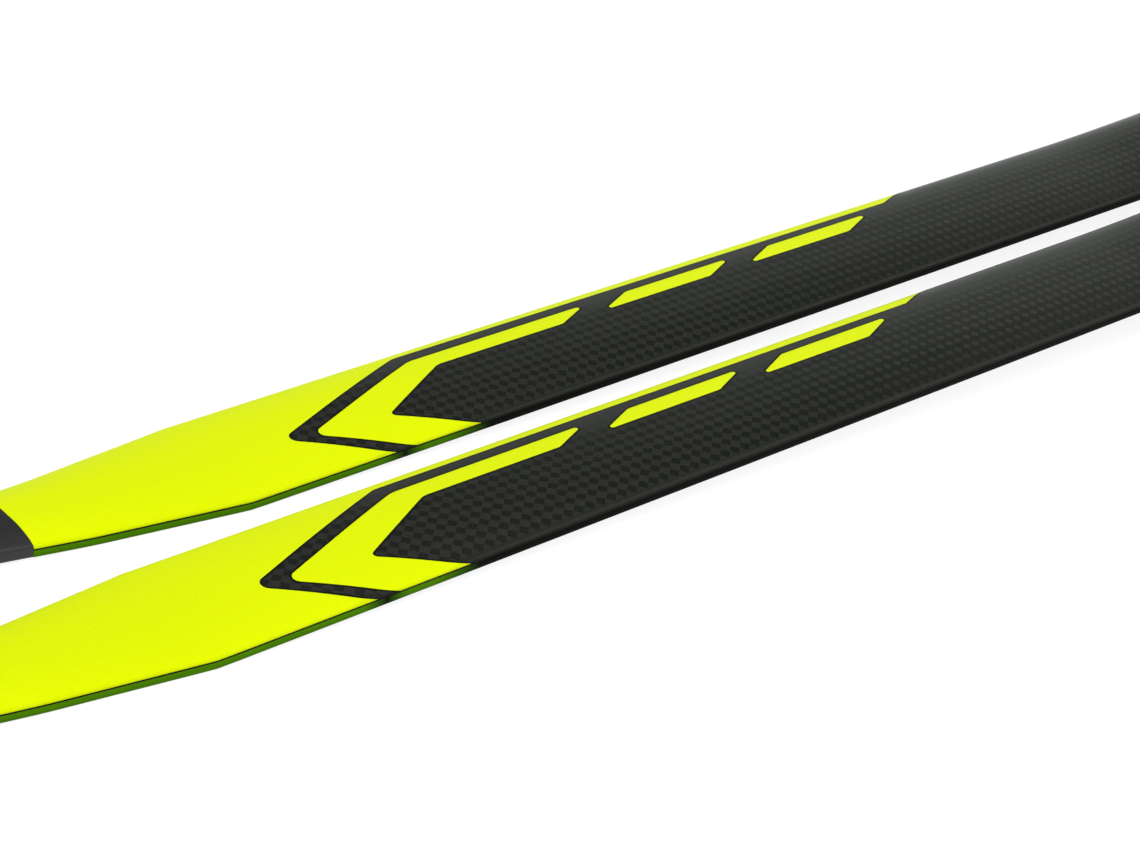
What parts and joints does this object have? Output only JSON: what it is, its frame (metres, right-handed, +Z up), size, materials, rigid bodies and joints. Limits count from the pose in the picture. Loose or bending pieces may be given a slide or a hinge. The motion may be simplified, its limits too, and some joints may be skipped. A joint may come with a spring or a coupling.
{
  "type": "cross country ski pair",
  "caption": "Matching cross country skis, long, thin and cambered, each with a sliding rail binding, release lever, latch jaw and heel plate.",
  "frame": {"origin": "on the floor, midway between the two skis and at half their length", "axes": "+X along the skis to their tips, +Y to the left ski, +Z up from the floor"},
  "size_m": [1.939, 0.1008, 0.0598],
  "materials": {
    "top_sheet": "satin",
    "laminate": "satin",
    "sidewall": "satin",
    "base": "satin",
    "core": "matte",
    "insert": "matte",
    "protector": "satin",
    "plate": "satin",
    "housing": "satin",
    "rubber": "matte",
    "steel": "satin",
    "lever": "satin",
    "dial": "satin"
  },
  "bodies": {
    "left_ski": {"binding_insert_left": "insert", "binding_plate_left": "plate", "bottom_laminate_left": "laminate", "front_core_left": "core", "inner_sidewall_left": "sidewall", "outer_sidewall_left": "sidewall", "plate_screw_1_left": "steel", "plate_screw_2_left": "steel", "plate_screw_3_left": "steel", "plate_screw_4_left": "steel", "rear_core_left": "core", "running_base_left": "base", "tail_protector_left": "protector", "tip_protector_left": "protector", "top_laminate_left": "laminate", "top_sheet_left": "top_sheet"},
    "left_carriage": {"flexor_left": "rubber", "heel_pad_left": "rubber", "heel_plate_left": "housing", "lever_pin_left": "steel", "lever_spring_left": "steel", "link_strip_left": "plate", "toe_housing_left": "housing"},
    "left_jaw": {"latch_jaw_left": "steel"},
    "left_dial": {"lock_dial_left": "dial"},
    "left_lever": {"release_lever_left": "lever"},
    "right_ski": {"binding_insert_right": "insert", "binding_plate_right": "plate", "bottom_laminate_right": "laminate", "front_core_right": "core", "inner_sidewall_right": "sidewall", "outer_sidewall_right": "sidewall", "plate_screw_1_right": "steel", "plate_screw_2_right": "steel", "plate_screw_3_right": "steel", "plate_screw_4_right": "steel", "rear_core_right": "core", "running_base_right": "base", "tail_protector_right": "protector", "tip_protector_right": "protector", "top_laminate_right": "laminate", "top_sheet_right": "top_sheet"},
    "right_carriage": {"flexor_right": "rubber", "heel_pad_right": "rubber", "heel_plate_right": "housing", "lever_pin_right": "steel", "lever_spring_right": "steel", "link_strip_right": "plate", "toe_housing_right": "housing"},
    "right_jaw": {"latch_jaw_right": "steel"},
    "right_dial": {"lock_dial_right": "dial"},
    "right_lever": {"release_lever_right": "lever"}
  },
  "joints": [
    {"name": "binding_slide_left", "type": "slide", "parent": "left_ski", "child": "left_carriage", "axis": [1, 0, 0], "range_m": [-0.012, 0.012]},
    {"name": "lever_hinge_left", "type": "hinge", "parent": "left_carriage", "child": "left_lever", "pos_m": [0.0752, 0.0284, 0.04752], "axis": [0, -1, 0], "range_deg": [0, 45], "stiffness_Nm_per_rad": 0.1},
    {"name": "jaw_slide_left", "type": "slide", "parent": "left_carriage", "child": "left_jaw", "axis": [1, 0, 0], "range_m": [0, 0.006]},
    {"name": "dial_turn_left", "type": "hinge", "parent": "left_carriage", "child": "left_dial", "pos_m": [0.1192, 0.0284, 0.04092], "axis": [0, 0, 1], "range_deg": [0, 90]},
    {"name": "binding_slide_right", "type": "slide", "parent": "right_ski", "child": "right_carriage", "axis": [1, 0, 0], "range_m": [-0.012, 0.012]},
    {"name": "lever_hinge_right", "type": "hinge", "parent": "right_carriage", "child": "right_lever", "pos_m": [0.0273, -0.0284, 0.04752], "axis": [0, -1, 0], "range_deg": [0, 45], "stiffness_Nm_per_rad": 0.1},
    {"name": "jaw_slide_right", "type": "slide", "parent": "right_carriage", "child": "right_jaw", "axis": [1, 0, 0], "range_m": [0, 0.006]},
    {"name": "dial_turn_right", "type": "hinge", "parent": "right_carriage", "child": "right_dial", "pos_m": [0.0713, -0.0284, 0.04092], "axis": [0, 0, 1], "range_deg": [0, 90]},
    {"name": "right_ski_lift", "type": "slide", "parent": "left_ski", "child": "right_ski", "axis": [0, 0, 1], "range_m": [0, 0.15]}
  ],
  "couplings": [
    {"joint": "lever_hinge_left", "follows": "jaw_slide_left", "rad_per_m": 130.9},
    {"joint": "lever_hinge_right", "follows": "jaw_slide_right", "rad_per_m": 130.9}
  ]
}
